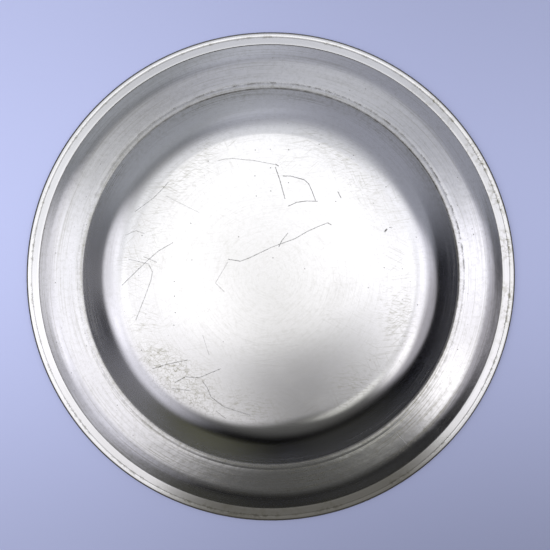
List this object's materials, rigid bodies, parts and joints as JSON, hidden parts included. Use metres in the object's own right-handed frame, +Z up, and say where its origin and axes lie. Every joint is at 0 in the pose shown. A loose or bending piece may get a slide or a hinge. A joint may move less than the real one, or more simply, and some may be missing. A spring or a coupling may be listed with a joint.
{
  "type": "plate",
  "caption": "Round pewter plate lying face down, with a flat base, a curved side wall, a plain sloping rim and a reed along the back of its edge, for serving food or for display",
  "frame": {"origin": "middle of the plate at the level of its edge, on the surface that it lies on face down", "axes": "+Z up along the turning axis, out of the plate's base; the well opens towards -Z. Turn the row 180 degrees about X to lay the table with it. X and Y run across the plate, which is alike all round"},
  "size_m": [0.241, 0.241, 0.0195],
  "materials": {
    "plate_pewter": "aged pewter, lathe-turned and hand-polished to a satin, fine scratches, dark patina in the corners",
    "reed_pewter": "aged pewter, burnished along fillet and bead, dark patina in the groove"
  },
  "bodies": {
    "root": {"dished_plate": "plate_pewter", "edge_reed": "reed_pewter"}
  },
  "joints": []
}
